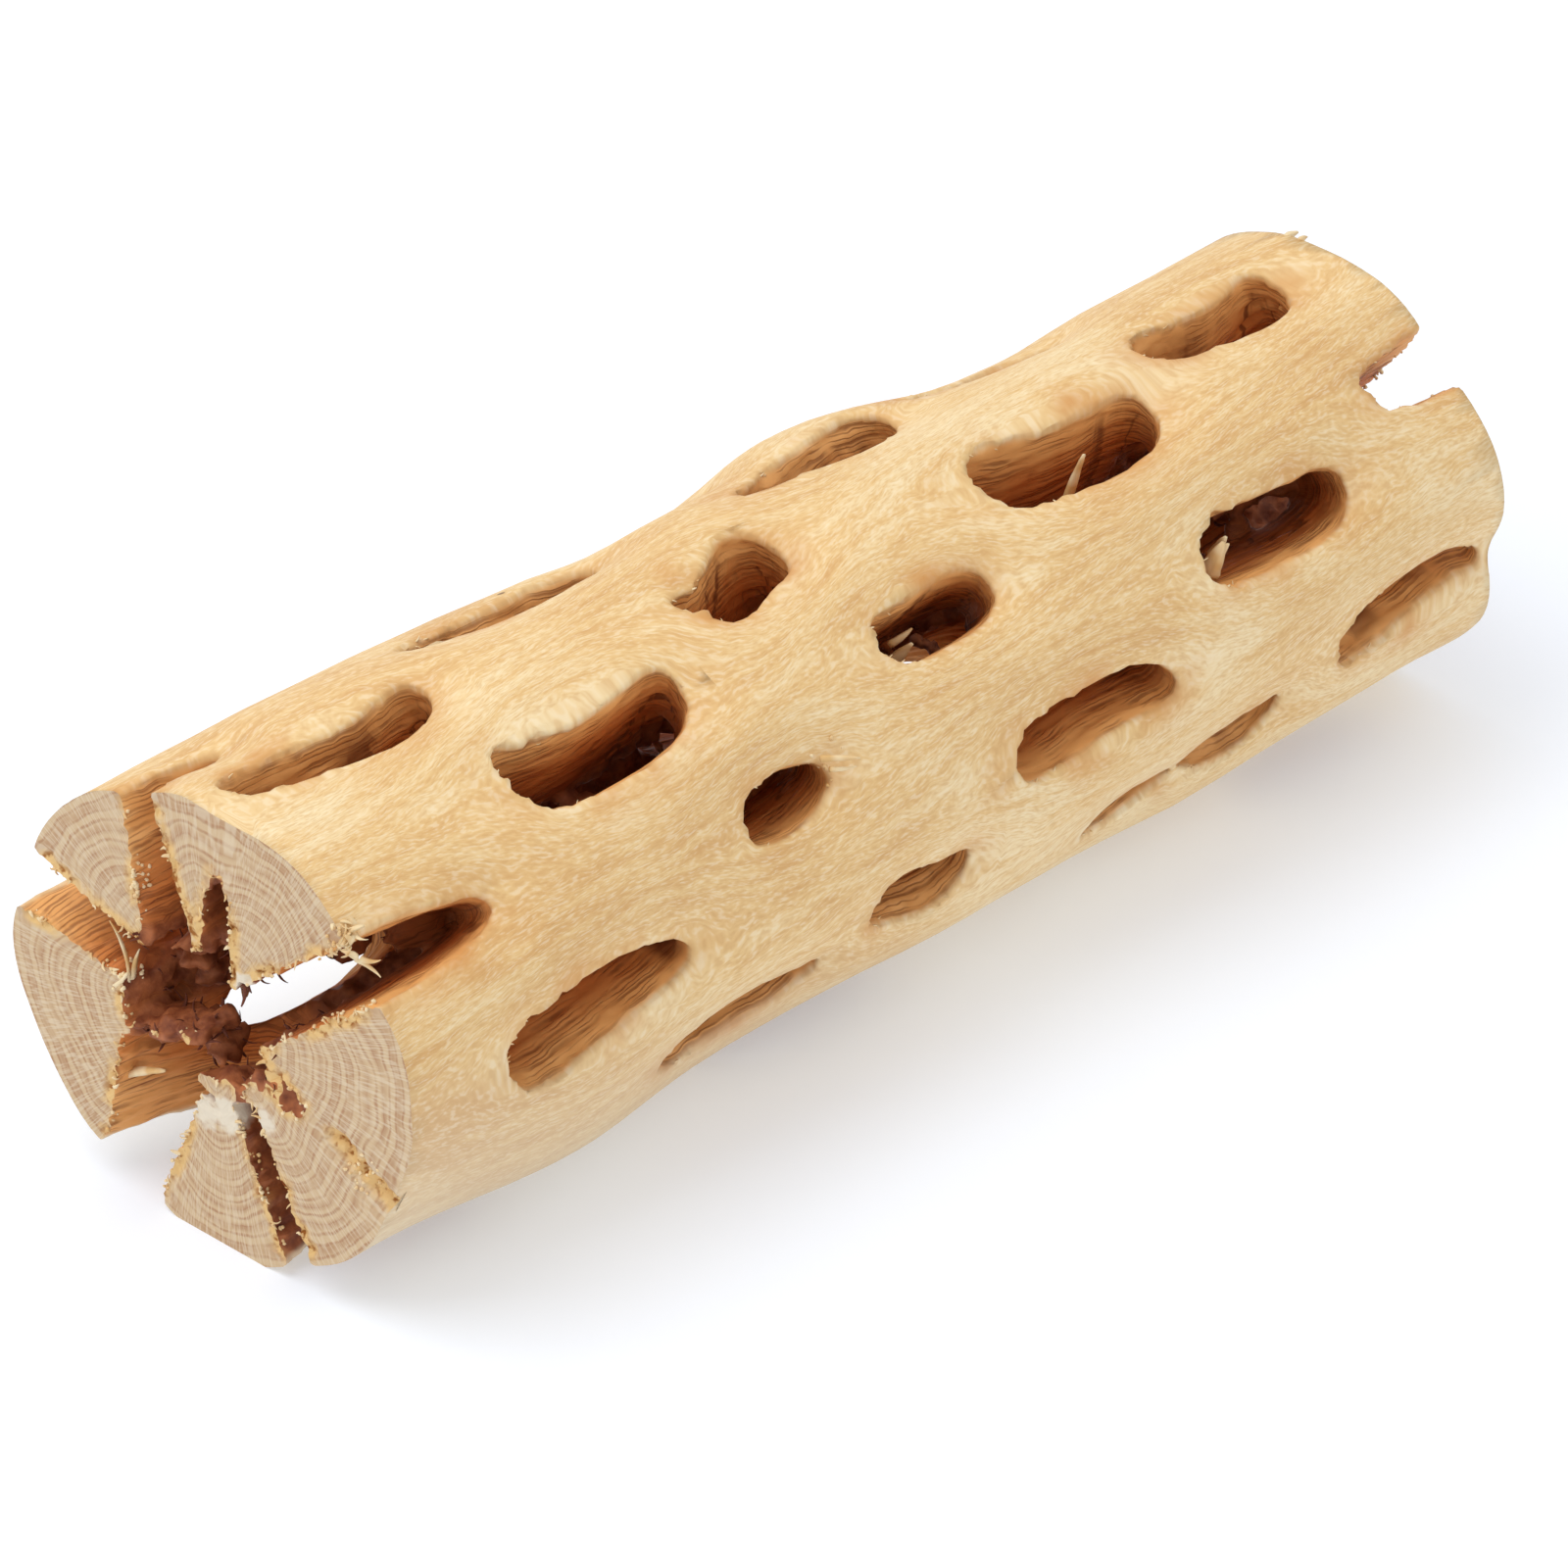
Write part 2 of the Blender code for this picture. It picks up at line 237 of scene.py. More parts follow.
def isApart(one, other):
    reach = (one["length"] + other["length"]) / 2 + 4
    along = (one["x"] - other["x"]) / mm / reach
    return math.hypot(along, angleBetween(one["angle"], other["angle"]) / 24) > 1


def allHoles():
    draw = random.Random(lattice["seed"])
    holes = [{**plainHole, **dict(zip(holeNames, row))} for row in seenHoles]
    for hole in holes:
        hole["x"] *= mm
    for ups in range(-12, 13):
        for downs in range(-12, 13):
            x = lattice["start"][0] + ups * lattice["stepUp"][0] + downs * lattice["stepDown"][0]
            if abs(x) > lattice["reach"]:
                continue
            angle = lattice["start"][1] + ups * lattice["stepUp"][1] + downs * lattice["stepDown"][1]
            made = {
                "x": x + draw.uniform(-3, 3) * mm,
                "angle": angleBetween(angle + draw.uniform(-3, 3), 0),
                "length": draw.uniform(*lattice["length"]),
                "widths": tuple(draw.uniform(*lattice["width"]) for _ in range(3)),
                "tilt": draw.uniform(-lattice["tilt"], lattice["tilt"]),
                "bend": draw.uniform(-lattice["bend"], lattice["bend"]),
                "sway": draw.uniform(-lattice["bend"], lattice["bend"]) / 2,
            }
            if all(isApart(made, hole) for hole in holes):
                holes.append({**plainHole, **made})
    return holes


def roundFrom(angle, hole):  # how far round the skin from the hole's middle
    return np.radians(angleBetween(angle, hole["angle"])) * logShape["nearRadius"]


def skinAt(x, angle, holes):  # the radius before wear, the share of a hole's dip, and how much is worn off
    turn = np.radians(angle)
    drift = noiseOf(np.stack((x / logShape["swellSize"], 1.7 * np.cos(turn), 1.7 * np.sin(turn)), -1))
    dip = np.zeros(len(x))
    scoop = np.zeros(len(x))
    for hole in holes:
        half = 0.5 * hole["length"] * mm
        across = roundFrom(angle, hole)
        past, aside = logShape["dipReach"]
        dip = np.maximum(dip, np.exp(-(((x - hole["x"]) / (half + past)) ** 2 + (across / aside) ** 2)))
        past, aside = logShape["funnelReach"]
        scoop = np.maximum(scoop, np.exp(-(((x - hole["x"] - half) / past) ** 2 + (across / aside) ** 2)))
    swell = 0
    for middle, swellAngle, reach, reachRound, height in swells:
        along = (x / mm - middle) / reach
        swell = swell + height * mm * np.exp(-(along**2 + (angleBetween(angle, swellAngle) / reachRound) ** 2))
    smooth = plainRadius(x) + logShape["swelling"] * (0.4 + drift) + swell
    return smooth, dip, logShape["holeDip"] * dip + logShape["funnel"] * scoop


def pointsOf(shape):
    return np.array([point.co for point in shape.verts])


def movePoints(shape, places):
    for point, place in zip(shape.verts, places.tolist()):
        point.co = place


def tube(length, rings, sides):  # a closed unit cylinder along X
    shape = bmesh.new()
    bmesh.ops.create_cone(shape, cap_ends=True, segments=sides, radius1=1, radius2=1, depth=1)
    longEdges = [edge for edge in shape.edges if abs(edge.verts[0].co.z - edge.verts[1].co.z) > 0.5]
    bmesh.ops.subdivide_edges(shape, edges=longEdges, cuts=rings)
    points = pointsOf(shape)
    movePoints(shape, np.stack((points[:, 2] * length, -points[:, 1], points[:, 0]), -1))
    return shape


def finishShape(shape, name):
    if shape.calc_volume(signed=True) < 0:
        bmesh.ops.reverse_faces(shape, faces=shape.faces)
    mesh = bpy.data.meshes.new(name)
    shape.to_mesh(mesh)
    shape.free()
    made = bpy.data.objects.new(name, mesh)
    bpy.context.scene.collection.objects.link(made)
    return made


def makeSkin(holes):
    shape = tube(logShape["length"] + 30 * mm, logShape["rings"], logShape["sides"])
    points = pointsOf(shape)
    angle = np.degrees(np.arctan2(-points[:, 1], points[:, 2]))
    smooth, _, worn = skinAt(points[:, 0], angle, holes)
    rim = np.hypot(points[:, 1], points[:, 2])
    places = spot(points[:, 0], angle, rim * (smooth - worn))
    waves = noiseAt(places, logShape["wave"], 9) * logShape["waveHeight"]
    movePoints(shape, spot(points[:, 0], angle, rim * (smooth - worn + waves)))
    return finishShape(shape, "bareLog")


def makeCoreCutter():
    shape = tube(logShape["length"] + 60 * mm, 180, 60)
    points = pointsOf(shape)
    turn = np.arctan2(-points[:, 1], points[:, 2])
    uneven = noiseOf(np.stack((points[:, 0] / core["lump"], 2 * np.cos(turn) + 7, 2 * np.sin(turn)), -1))
    radius = np.hypot(points[:, 1], points[:, 2]) * (core["radius"] + core["uneven"] * uneven)
    middle = spot(points[:, 0], np.full(len(points), core["shiftAngle"]), core["shift"])
    movePoints(shape, middle + spot(0, np.degrees(turn), radius) - spot(0, np.zeros(1), 0))
    return finishShape(shape, "coreCutter")


def squared(value):  # fuller ends for an ellipse
    return np.copysign(np.abs(value) ** holeShape["fullness"], value)


def makeHoleCutter(hole):
    shape = tube(1, holeShape["rings"], holeShape["sides"])
    points = pointsOf(shape)
    skin = plainRadius(hole["x"])
    radius = holeShape["start"] + (skin + holeShape["pastSkin"]) * (points[:, 0] + 0.5)
    wall = (radius - core["radius"]) / (skin - core["radius"])
    inward = np.clip(1 - wall, 0, 1.2)
    mouthStart, mouthLength = holeShape["mouth"]
    flare = 1 + holeShape["flare"] * np.maximum(0, wall - mouthStart) / mouthLength
    rim = np.hypot(points[:, 1], points[:, 2])
    turn = np.arctan2(points[:, 1], points[:, 2])
    along, side = squared(np.cos(turn)), squared(np.sin(turn))
    near, middle, far = hole["widths"]
    width = middle + (far - near) / 2 * along + ((far + near) / 2 - middle) * along**2
    outline = width / 2 * side + hole["bend"] * (1 - 2 * along**2) + hole["sway"] * np.sin(math.pi * along)
    halfLength = hole["length"] / 2 * mm + holeShape["innerGrowth"] / 2 * inward**0.9
    halfLength *= 0.9 + 0.1 * flare
    across = outline * mm * (1 - (1 - hole["coreWidth"]) * inward) * flare
    tilt, facing = math.radians(hole["tilt"]), math.radians(hole["angle"])
    x = hole["x"] + rim * (along * halfLength * math.cos(tilt) - across * math.sin(tilt))
    sideways = rim * (along * halfLength * math.sin(tilt) + across * math.cos(tilt)) + hole["lean"] * mm * inward
    outward = np.array((0, -math.sin(facing), math.cos(facing)))
    tangent = np.array((0, -math.cos(facing), -math.sin(facing)))
    places = np.outer(radius, outward) + np.outer(sideways, tangent)
    places += np.stack((x, 0 * x, 0 * x + logShape["axisHeight"]), -1)
    movePoints(shape, places)
    return finishShape(shape, "holeCutter")


def bakeModifiers(piece):
    bpy.context.view_layer.update()
    mesh = bpy.data.meshes.new_from_object(piece.evaluated_get(bpy.context.evaluated_depsgraph_get()))
    piece.modifiers.clear()
    piece.data = mesh


def removeAll(pieces):
    for piece in pieces:
        bpy.data.objects.remove(piece, do_unlink=True)


def cut(piece, cutters):
    group = bpy.data.collections.new("cutters")
    for cutter in cutters:
        group.objects.link(cutter)
    boolean = piece.modifiers.new("cut", "BOOLEAN")
    boolean.operation = "DIFFERENCE"
    boolean.solver = "MANIFOLD"
    boolean.operand_type = "COLLECTION"
    boolean.collection = group
    bakeModifiers(piece)
    removeAll(cutters)
    bpy.data.collections.remove(group)


def dropScraps(piece):  # keeps the largest body
    shape = bmesh.new()
    shape.from_mesh(piece.data)
    left = set(shape.verts)
    bodies = []
    while left:
        waiting = [left.pop()]
        body = set(waiting)
        while waiting:
            for edge in waiting.pop().link_edges:
                for point in edge.verts:
                    if point in left:
                        left.remove(point)
                        body.add(point)
                        waiting.append(point)
        bodies.append(body)
    scraps = [point for body in sorted(bodies, key=len)[:-1] for point in body]
    bmesh.ops.delete(shape, geom=scraps, context="VERTS")
    shape.to_mesh(piece.data)
    shape.free()


def vectorsOf(items, name):
    values = np.empty(len(items) * 3, np.float32)
    items.foreach_get(name, values)
    return values.reshape(-1, 3).astype(float)


def coreDistance(points):
    return np.linalg.norm(points[:, 1:] - spot(0, np.array([core["shiftAngle"]]), core["shift"])[0, 1:], axis=1)


def outwardAt(angle):  # away from the log's axis
    turn = math.radians(angle)
    return Vector((0, -math.sin(turn), math.cos(turn)))


def tangentAt(angle):  # round the log, the way the angle grows
    turn = math.radians(angle)
    return Vector((0, -math.cos(turn), -math.sin(turn)))


def placeAt(x, angle, radius):  # in millimetres
    return Vector((x * mm, 0, logShape["axisHeight"])) + outwardAt(angle) * radius * mm


def addRag(shape, row, seed):  # a lump of pith, sunk in what it hangs on
    x, angle, radius, *halfSizes = row
    made = bmesh.ops.create_icosphere(shape, subdivisions=3, radius=1)["verts"]
    axes = (Vector((1, 0, 0)), tangentAt(angle), outwardAt(angle))
    for point in made:
        swell = 1 + 0.35 * noise.noise(point.co * 1.4 + Vector((seed, 0, 0)))
        swell += 0.25 * noise.noise(point.co * 3.5 + Vector((0, seed, 0)))
        place = placeAt(x, angle, radius)
        for axis, half, share in zip(axes, halfSizes, point.co.copy()):
            place += axis * half * mm * share * swell
        point.co = place


def growPith(piece):  # rags on the core's wall, and strands from wall to wall
    draw = random.Random(11)
    rows = list(pithRags)
    while len(rows) < 60:
        x, angle = draw.uniform(-88, 98), draw.uniform(-180, 180)
        if x < -50 and abs(angleBetween(angle, -131)) < 60:  # light comes through here in the photo
            continue
        radius = 9.6 + draw.uniform(0, 1.5)
        rows.append((x, angle, radius, draw.uniform(2, 6), draw.uniform(1.4, 3.2), draw.uniform(1, 2.2)))
    shape = bmesh.new()
    for number, row in enumerate(rows):
        addRag(shape, row, number * 3.1)
    template = startFibres(shape)
    for _ in range(16):
        x, angle = draw.uniform(-45, 95), draw.uniform(-180, 180)
        start = placeAt(x, angle, 12.5)
        end = placeAt(x + draw.uniform(-9, 9), angle + draw.uniform(60, 130), 12.5)
        addFibre(shape, template, start, end - start, draw, (1.0, 0.7), draw.uniform(0.2, 0.9))
    endFibres(shape, template)
    shape.from_mesh(piece.data)
    shape.to_mesh(piece.data)
    shape.free()


def startFibres(shape):  # the straight strip that each fibre is a bent copy of
    strip = tube(1, 6, 5)
    mesh = bpy.data.meshes.new("strip")
    strip.to_mesh(mesh)
    strip.free()
    before = set(shape.verts)
    shape.from_mesh(mesh)
    bpy.data.meshes.remove(mesh)
    points = [point for point in shape.verts if point not in before]
    edges = list(dict.fromkeys(edge for point in points for edge in point.link_edges))
    faces = list(dict.fromkeys(face for point in points for face in point.link_faces))
    return points + edges + faces


def endFibres(shape, template):
    bmesh.ops.delete(shape, geom=[item for item in template if isinstance(item, bmesh.types.BMVert)], context="VERTS")


def addFibre(shape, template, start, reach, draw, size, curl):  # a strip that tapers and curls; half sizes in mm
    along = reach.normalized()
    aside = along.cross(Vector((draw.uniform(-1, 1), draw.uniform(-1, 1), draw.uniform(-1, 1)))).normalized()
    third = along.cross(aside)
    bendRadius = reach.length / max(curl, 0.05)
    made = bmesh.ops.duplicate(shape, geom=template)["geom"]
    for point in [item for item in made if isinstance(item, bmesh.types.BMVert)]:
        share = point.co.x + 0.5
        turn = max(curl, 0.05) * share
        middle = start + (along * math.sin(turn) + aside * (1 - math.cos(turn))) * bendRadius
        outward = aside * math.cos(turn) - along * math.sin(turn)
        taper = 1 - 0.75 * share**2
        ragged = 1 + 0.3 * noise.noise(Vector((share * 4, start.x * 900, start.z * 900)))
        point.co = middle + (third * point.co.y * size[0] + outward * point.co.z * size[1]) * mm * taper * ragged


def facingOut(normals, angle):  # 1 where the wood faces straight out from the axis
    return normals[:, 2] * np.cos(np.radians(angle)) - normals[:, 1] * np.sin(np.radians(angle))


def fromSawCut(x):
    return np.minimum(np.abs(x - logShape["nearCut"]["x"]), np.abs(x - logShape["farCut"]["x"]))


def raggedness(x, angle, holes):  # the near ends of the holes are the most torn
    most = np.zeros(len(x))
    for hole in holes:
        along = (x - hole["x"]) / (0.5 * hole["length"] * mm)
        across = roundFrom(angle, hole) / (0.5 * max(hole["widths"]) * mm)
        near = np.exp(-2 * np.maximum(along**2 + across**2 - 1.4, 0))
        most = np.maximum(most, near * smoothStep(0.1, -0.8, along))
    return most


def roughen(piece, holes):
    mesh = piece.data
    points, normals = vectorsOf(mesh.vertices, "co"), vectorsOf(mesh.vertex_normals, "vector")
    x, angle, radius = placeOf(points)
    smooth, _, worn = skinAt(x, angle, holes)
    depth = smooth - worn - radius
    turned = 1 - facingOut(normals, angle)
    wall = smoothStep(*surface["wallDepth"], depth) * smoothStep(*surface["wallTurn"], turned)
    lip = smoothStep(*surface["lipTurn"], turned) * np.exp(-(np.maximum(depth, 0) / surface["lipReach"]) ** 2)
    outer, inner = surface["corePast"]
    inCore = smoothStep(core["radius"] + outer, core["radius"] + inner, coreDistance(points)) * wall
    plainWall = wall * (1 - inCore)

    warp = noiseAt(points, 12 * mm, 1, plainWall)
    phase = (depth / surface["ledge"] + 0.9 * warp) % 1
    ledges = (phase - smoothStep(0.78, 1.0, phase) * phase / np.maximum(phase, 0.01) - 0.35) * surface["ledgeHeight"]
    length, spacing = surface["fibre"]
    stronger = 0.7 + 0.7 * smoothStep(24 * mm, 4 * mm, np.abs(x - logShape["nearCut"]["x"]))
    push = plainWall * ledges
    push += noiseAt(points, (length, spacing, spacing), 2, plainWall * stronger) * surface["fibreHeight"]
    torn = lip * (surface["lipBase"] + 1.0 * raggedness(x, angle, holes))
    push += noiseAt(points, surface["bite"][0], 4, torn) * surface["bite"][1]
    push += noiseAt(points, surface["nick"][0], 5, torn) * surface["nick"][1]
    push += noiseAt(points, surface["pithLump"][0], 7, inCore) * surface["pithLump"][1]
    push += noiseAt(points, surface["pithGrain"][0], 8, inCore) * surface["pithGrain"][1]
    mesh.vertices.foreach_set("co", (points + normals * push[:, None]).astype(np.float32).ravel())
    mesh.update()


def sawMatrix(place):
    turn = Matrix.Rotation(math.radians(place["turn"]), 4, "Z")
    lean = Matrix.Rotation(math.radians(place["lean"]), 4, "Y")
    return Matrix.Translation((place["x"], 0, logShape["axisHeight"])) @ turn @ lean


def sawBlock(place):  # its squares carry over to the sawn face
    shape = bmesh.new()
    bmesh.ops.create_cube(shape, size=1)
    bmesh.ops.subdivide_edges(shape, edges=shape.edges, cuts=logShape["capSquares"] - 1, use_grid_fill=True)
    bmesh.ops.scale(shape, vec=(50 * mm, 76 * mm, 76 * mm), verts=shape.verts)
    bmesh.ops.translate(shape, vec=(place["side"] * 25 * mm, 0, 0), verts=shape.verts)
    shape.transform(sawMatrix(place))
    return finishShape(shape, "sawBlock")


def floorBlock():
    shape = bmesh.new()
    bmesh.ops.create_cube(shape, size=1)
    bmesh.ops.scale(shape, vec=(300 * mm, 100 * mm, 20 * mm), verts=shape.verts)
    bmesh.ops.translate(shape, vec=(0, 0, -10 * mm), verts=shape.verts)
    return finishShape(shape, "floorBlock")


def crumbleSawnFaces(piece, holes):  # gives back the torn rims: place, way into the gap, way the cut faces
    shape = bmesh.new()
    shape.from_mesh(piece.data)
    shape.verts.index_update()
    crumb = shape.verts.layers.float.new("crumb")
    torn = []
    for place in (logShape["nearCut"], logShape["farCut"]):
        onto = sawMatrix(place)
        outward = (onto.to_3x3() @ Vector((place["side"], 0, 0))).normalized()
        sawn = set()
        for face in shape.faces:
            away = (face.calc_center_median() - onto.translation).dot(outward)
            if abs(away) < 0.02 * mm and face.normal.dot(outward) > 0.999:
                face.material_index = 1
                face.smooth = False
                sawn.add(face)
        # Sorted, because a set has another order in each run, and the fibres are drawn from the torn rims
        points = sorted({point for face in sawn for point in face.verts}, key=lambda point: point.index)
        rim = [point for point in points if any(face not in sawn for face in point.link_faces)]
        x, angle, radius = placeOf(np.array([point.co for point in rim]))
        smooth, _, worn = skinAt(x, angle, holes)
        inner = [point for point, deep in zip(rim, smooth - worn - radius > 2.2 * mm) if deep]
        tree = kdtree.KDTree(len(inner))
        for number, point in enumerate(inner):
            tree.insert(point.co, number)
            gap = sum((face.normal for face in point.link_faces if face not in sawn), Vector())
            gap = (gap - outward * gap.dot(outward)).normalized()
            torn.append((point.co.copy(), gap, outward))
        tree.balance()
        rimPoints = set(rim)
        size, height = surface["crumb"]
        bandStart, bandEnd = placeAt(*tornBand["from"]), placeAt(*tornBand["to"])
        for point in points:
            weight = math.exp(-((tree.find(point.co)[2] / surface["crumbReach"]) ** 2))
            weight *= 0.35 + 0.65 * smoothStep(-0.3, 0.4, noise.noise(point.co / (6 * mm)))
            onBand, along = intersect_point_line(point.co, bandStart, bandEnd)
            band = math.exp(-(((point.co - onBand).length / tornBand["reach"]) ** 2)) * smoothStep(-0.3, 0.1, along)
            point[crumb] = max(weight, band)
            share = weight * (0.35 if point in rimPoints else 1)
            pits = min(0.25 + noise.noise(point.co / size), 0.45) - 0.5
            point.co += outward * (height * share * pits - tornBand["depth"] * band * (1 + pits))
    shape.to_mesh(piece.data)
    shape.free()
    return torn


def flowRound(x, angle, holes):  # how far the grain is pushed aside by the holes, as an angle
    shift = np.zeros(len(x))
    for hole in holes:
        tilt = math.radians(hole["tilt"])
        dx = x - hole["x"]
        dy = roundFrom(angle, hole)
        along = (dx * math.cos(tilt) + dy * math.sin(tilt)) / ((hole["length"] / 2 + 3.5) * mm)
        across = (dy * math.cos(tilt) - dx * math.sin(tilt)) / ((max(hole["widths"]) / 2 + 1.0) * mm)
        far = np.maximum(along**2 + across**2 - 1, 0)
        shift -= dy * np.exp(-0.55 * far)
    return np.degrees(shift / logShape["nearRadius"])


def shoulderOf(x, angle, holes):  # 1 at a hole's shoulder, fading over a few millimetres
    near = np.zeros(len(x))
    for hole in holes:
        dx = (x - hole["x"]) / ((hole["length"] / 2 + 2.5) * mm)
        dy = roundFrom(angle, hole) / ((max(hole["widths"]) / 2 + 2.0) * mm)
        near = np.maximum(near, np.exp(-2.5 * np.maximum(dx**2 + dy**2 - 0.75, 0)))
    return near


def nearness(points, spots):  # 1 at the spots, fading out at their reach
    most = np.zeros(len(points))
    for x, angle, radius, reach in spots:
        away = np.linalg.norm(points - np.array(placeAt(x, angle, radius)), axis=1)
        most = np.maximum(most, np.exp(-((away / (reach * mm)) ** 2)))
    return most


def addAttribute(mesh, name, values):
    vector = values.ndim == 2
    made = mesh.attributes.new(name, "FLOAT_VECTOR" if vector else "FLOAT", "POINT")
    made.data.foreach_set("vector" if vector else "value", values.astype(np.float32).ravel())


def addGrain(piece, holes):  # what the wood's colour follows, all in millimetres
    points = vectorsOf(piece.data.vertices, "co")
    x, angle, radius = placeOf(points)
    smooth, dip, worn = skinAt(x, angle, holes)
    turn = np.radians(angle + flowRound(x, angle, holes))
    round33 = logShape["nearRadius"] / mm
    addAttribute(piece.data, "grain", np.stack((x / mm, round33 * np.sin(turn), round33 * np.cos(turn)), -1))
    depth = (smooth - worn - radius) / mm
    addAttribute(piece.data, "depth", depth)
    addAttribute(piece.data, "ringDepth", (smooth - radius) / mm - 5.5 * dip * smoothStep(-2, 9, depth))
    inCore = smoothStep(15.5 * mm, 11.5 * mm, coreDistance(points))
    addAttribute(piece.data, "pith", np.maximum(inCore, 1.15 * nearness(points, pithStains)))
    addAttribute(piece.data, "felt", nearness(points, paleFelts))
    addAttribute(piece.data, "shoulder", shoulderOf(x, angle, holes))
    # the hole walls are drawn paler within this reach of either sawn face
    addAttribute(piece.data, "nearSawnEnd", smoothStep(16 * mm, 1 * mm, fromSawCut(x)))
    return depth


def makeLog(wood, sawn):
    holes = allHoles()
    piece = makeSkin(holes)
    piece.data.materials.append(wood)
    piece.data.materials.append(sawn)
    cut(piece, [makeCoreCutter()] + [makeHoleCutter(hole) for hole in holes])
    growPith(piece)
    print("log: holes cut", len(holes))
    remesh = piece.modifiers.new("grown shape", "REMESH")
    remesh.mode = "VOXEL"
    remesh.voxel_size = logShape["voxel"]
    soft = piece.modifiers.new("rounded rims", "SMOOTH")
    soft.factor = 0.5
    soft.iterations = 3
    bakeModifiers(piece)
    print("log: grown", len(piece.data.vertices))
    roughen(piece, holes)
    print("log: roughened")
    fewer = piece.modifiers.new("fewer faces", "DECIMATE")
    fewer.ratio = logShape["mostTriangles"] / (2 * len(piece.data.polygons))
    bakeModifiers(piece)
    dropScraps(piece)
    print("log: thinned to", len(piece.data.polygons))
    cut(piece, [sawBlock(logShape["nearCut"]), sawBlock(logShape["farCut"]), floorBlock()])
    dropScraps(piece)
    piece.data.shade_smooth()
    torn = crumbleSawnFaces(piece, holes)
    print("log: sawn", len(piece.data.polygons))
    depth = addGrain(piece, holes)
    return piece, holes, depth, torn


# Torn fibres: a fringe on the sawn rims, short ones on the lips of the holes, and the splinters of the photo
fibreCounts = {"sawn": 150, "lips": 150, "crumbs": 480, "pith": 260}
fibreShapes = {  # lengths and half widths (mm), and curls (radians)
    "sawn": ((0.8, 1.5), (0.14, 0.34), (0.3, 2.4)),
    "lips": ((0.4, 1.0), (0.1, 0.22), (0.1, 1.2)),
    "pith": ((0.8, 2.6), (0.12, 0.3), (0.2, 2.0)),
}

# Crumbs are thickest on the wood near these places: along, round and out, spread (mm), count
crumbHeaps = [
    ((-99.5, -34, 19.0), 3.6, 44),
    ((-96.0, 44, 31.5), 2.6, 30),
    ((-100.6, -92, 16.5), 2.6, 24),
    ((-97.6, 111, 27.0), 3.4, 26),
    ((-21.0, 58, 31.5), 4.0, 14),
]

# Splinters from one place to another, then half width, half thickness (mm) and curl (radians)
splinters = [
    ((-100.4, -94, 15.6), (-100.9, -57, 17.1), 0.7, 0.3, 0.45),
    ((-100.0, -93, 15.2), (-100.6, -69, 14.9), 0.6, 0.3, 0.3),
    ((-101.2, -98, 17.6), (-101.4, -85, 13.4), 0.8, 0.45, 0.3),
    ((-100.0, -135, 24.0), (-101.2, -139, 15.0), 0.8, 0.45, 0.3),
    ((38.0, 22, 22.5), (39.3, 18.5, 30.8), 0.8, 0.4, 0.3),
    ((49.0, 63, 26.5), (49.0, 56, 31.4), 1.5, 0.9, 0.3),
    ((50.6, 62, 25.5), (50.8, 55, 30.6), 1.4, 0.8, 0.3),
    ((52.0, 61, 24.5), (52.2, 54, 29.4), 1.1, 0.7, 0.3),
    ((0.5, 44, 22.0), (3.0, 41, 25.6), 1.0, 0.5, 0.4),
    ((1.5, 38, 22.5), (4.2, 39, 25.0), 0.7, 0.4, 0.5),
    ((-22.2, 56, 32.6), (-17.6, 59, 34.0), 0.5, 0.3, 0.4),
    ((-21.5, 59, 32.6), (-17.8, 62, 33.8), 0.4, 0.3, 0.6),
    ((94.0, -16, 30.8), (95.8, -15, 31.5), 0.8, 0.5, 0.6),
    ((94.2, -11, 30.8), (95.6, -12, 31.3), 0.6, 0.5, 0.8),
    ((-80.0, -130, 24.0), (-76.0, -126, 29.5), 0.8, 0.4, 0.4),
    ((20.0, -137, 23.0), (24.5, -141, 29.0), 0.8, 0.4, 0.5),
    ((-36.0, -28, 24.0), (-33.5, -23, 29.5), 0.8, 0.4, 0.5),
    ((95.0, 150, 20.0), (97.5, 158, 26.0), 0.7, 0.35, 0.5),
]

# The curled shavings that the saw left below the hole at the near end
shavings = {
    "count": 17,
    "x": (-96.2, -93.8),
    "angle": (37, 49),
    "length": (2.0, 4.6),
    "half": (0.3, 0.8),
    "curl": (0.5, 2.6),
}


